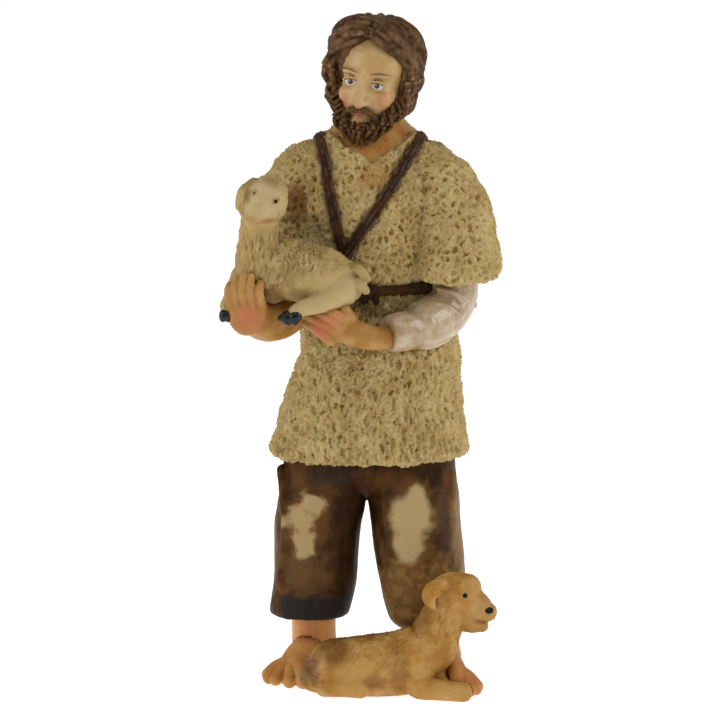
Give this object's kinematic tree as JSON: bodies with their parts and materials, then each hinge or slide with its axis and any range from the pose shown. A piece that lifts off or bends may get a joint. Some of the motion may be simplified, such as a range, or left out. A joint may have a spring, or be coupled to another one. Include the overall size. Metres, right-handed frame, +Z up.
{
  "type": "nativity shepherd figurine",
  "caption": "Standing barefoot shepherd in a fleece tunic, holding a lamb, with a dog lying at the feet; a cast resin crib figure.",
  "frame": {"origin": "on the ground, under the middle of the figure's bounding box", "axes": "+Z up to the top of the hair, -Y the way the shepherd faces, +X towards the shepherd's left hand"},
  "size_m": [0.0502, 0.0413, 0.1201],
  "materials": {
    "painted_resin": "hand-painted resin, satin, with darker wash in the carving"
  },
  "bodies": {
    "root": {"shepherd_figurine": "painted_resin"}
  },
  "joints": []
}
